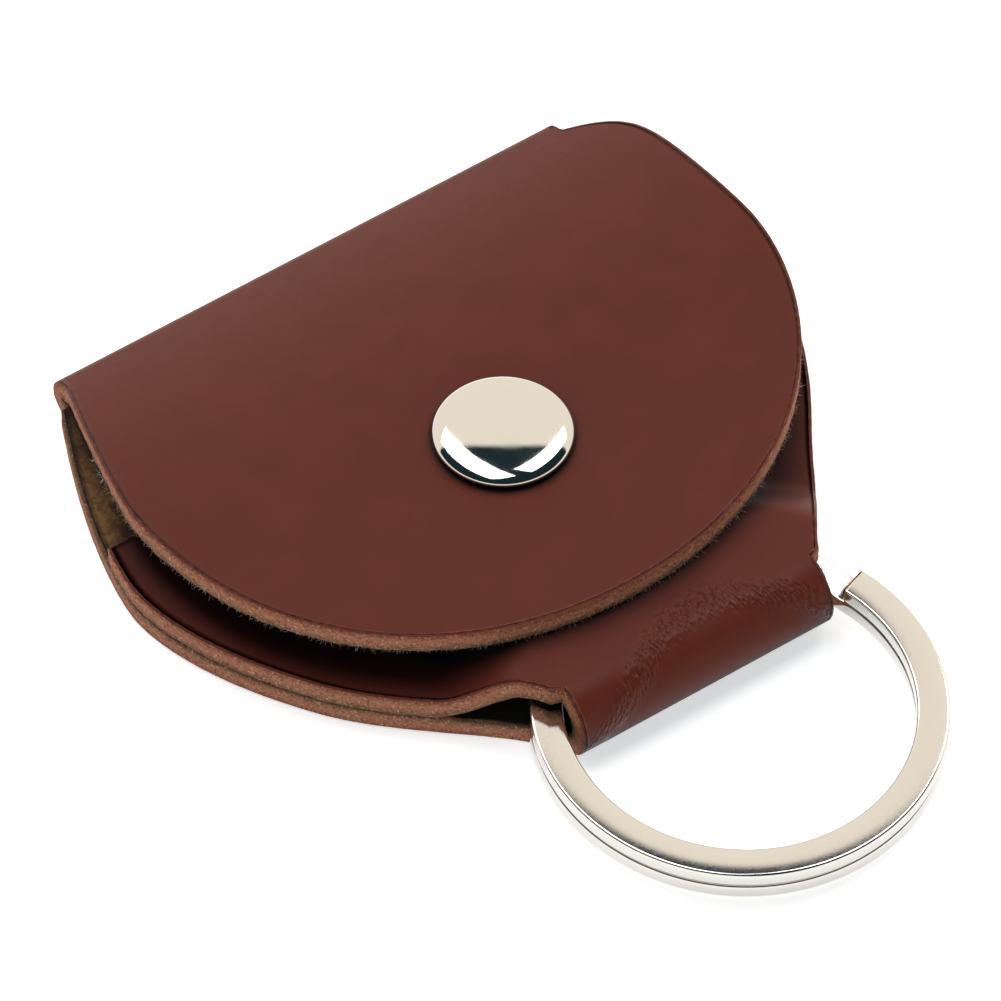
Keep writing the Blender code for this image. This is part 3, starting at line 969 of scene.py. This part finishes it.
def make_camera():
    back = Vector((0, 0, math.sin(VIEW_ELEVATION))) - AWAY * math.cos(VIEW_ELEVATION)
    data = bpy.data.cameras.new("camera")
    data.lens = VIEW_LENS
    data.sensor_width = 36.0
    data.clip_start = 0.05
    data.clip_end = 20.0
    camera = bpy.data.objects.new("camera", data)
    camera.location = VIEW_AIM + back * VIEW_DISTANCE
    camera.rotation_euler = back.to_track_quat("Z", "Y").to_euler()
    bpy.context.scene.collection.objects.link(camera)
    bpy.context.scene.camera = camera


def make_floor():
    """A pale floor that lights the object's underside a little, as a light table does."""
    mesh = bpy.data.meshes.new("floor")
    form = bmesh.new()
    bmesh.ops.create_circle(form, cap_ends=True, segments=96, radius=4.0)
    form.to_mesh(mesh)
    form.free()
    paint = Paint("pale_floor")
    place = paint.add("ShaderNodeTexCoord").outputs["Object"]
    tone = paint.mix(paint.noise(place, 3.0), (0.80, 0.80, 0.80), (0.82, 0.82, 0.82))
    paint.shade(Base_Color=tone, Roughness=0.8, Specular_IOR_Level=0.0)
    paint.shade(Emission_Color=(0.97, 0.985, 1.0, 1.0), Emission_Strength=FLOOR_GLOW)
    floor = new_object("floor", mesh, paint.material)
    floor.location.z = cad_bounds[0].z - 0.00002


def make_sky():
    """A studio with a warm white wall behind the object and a dark ceiling."""
    world = bpy.data.worlds.new("studio")
    bpy.context.scene.world = world
    world.use_nodes = True
    tree = world.node_tree
    nodes = tree.nodes
    background = nodes["Background"]
    direction = nodes.new("ShaderNodeTexCoord").outputs["Generated"]

    def facing(normal, low, high):
        dot = nodes.new("ShaderNodeVectorMath")
        dot.operation = "DOT_PRODUCT"
        tree.links.new(direction, dot.inputs[0])
        dot.inputs[1].default_value = normal
        ramp = nodes.new("ShaderNodeMapRange")
        ramp.interpolation_type = "SMOOTHSTEP"
        ramp.inputs["From Min"].default_value = low
        ramp.inputs["From Max"].default_value = high
        tree.links.new(dot.outputs["Value"], ramp.inputs["Value"])
        return ramp.outputs["Result"]

    edge_way = AWAY * math.cos(CEILING_EDGE) - Vector((0, 0, math.sin(CEILING_EDGE)))
    wall = facing(edge_way, -0.02, 0.04)
    horizon = facing(Vector((0, 0, 1)), 0.42, 0.30)
    either = nodes.new("ShaderNodeMath")
    either.operation = "MAXIMUM"
    tree.links.new(wall, either.inputs[0])
    tree.links.new(horizon, either.inputs[1])
    mix = nodes.new("ShaderNodeMix")
    mix.data_type = "RGBA"
    tree.links.new(either.outputs[0], mix.inputs["Factor"])
    mix.inputs[6].default_value = (*SKY_DARK, 1.0)
    mix.inputs[7].default_value = (*SKY_BRIGHT, 1.0)
    tree.links.new(mix.outputs[2], background.inputs["Color"])


def softbox(name, start, end, width, radiance, height=0.7):
    """A long soft light on the ceiling; start and end are (right, away) per unit of height."""
    a = (RIGHT * start[0] + AWAY * start[1] + Vector((0, 0, 1))) * height
    b = (RIGHT * end[0] + AWAY * end[1] + Vector((0, 0, 1))) * height
    length = (b - a).length
    data = bpy.data.lights.new(name, "AREA")
    data.shape = "RECTANGLE"
    data.size = length
    data.size_y = width * height
    data.energy = radiance * math.pi * length * data.size_y
    light = bpy.data.objects.new(name, data)
    light.location = (a + b) / 2
    along = (b - a).normalized()
    light.rotation_euler = (0, 0, math.atan2(along.y, along.x))
    bpy.context.scene.collection.objects.link(light)


def make_lights():
    softbox("left_softbox", (-0.78, 0.82), (-0.02, -0.22), 0.40, 4.0)
    softbox("right_softbox", (0.86, 0.95), (0.22, 0.06), 0.32, 4.4)


# ---- assembly --------------------------------------------------------------

bpy.context.scene.view_settings.view_transform = "Standard"
make_camera()
make_floor()
make_sky()
make_lights()

leather = [grain_material(), cut_edge_material(), suede_material()]
polished = bright_nickel()
satin = satin_nickel("satin_nickel", 0.22)
ring_finish = satin_nickel("ring_nickel", 0.11)
steel = satin_nickel("spring_steel", 0.3, (0.46, 0.46, 0.48))

flap = leather_sheet("leather_flap", flap_grid(), -1, -1, leather)
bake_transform(flap)
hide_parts("hinge_fold", "flap_panel")

body = leather_sheet("leather_body", body_grid(), 1, 1, leather)
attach(body, "base")
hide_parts("back_panel", "ring_loop", "pocket_panel")

pieces = (
    (cap_piece(polished), "flap", "cap_dome", "bright_nickel"),
    (cap_post_piece(satin), "flap", "cap_post", "satin_nickel"),
    (socket_piece(satin), "flap", "snap_socket", "satin_nickel"),
    (stud_piece(polished), "base", "snap_stud", "bright_nickel"),
    (stud_post_piece(satin), "base", "stud_post", "satin_nickel"),
    (ring_piece(ring_finish), "ring", "split_ring", "ring_nickel"),
)
for piece, body_name, node, slot_name in pieces:
    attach(piece, body_name)
    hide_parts(node)

lint = lint_piece("flap_lint", flap_lint_roots(), lint_material())
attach(lint, "flap")

for node, finish in (("rim_glue", glue_material()), ("socket_spring", steel)):
    carried = frame["nodes"][node]
    carried.data.materials.clear()
    carried.data.materials.append(finish)
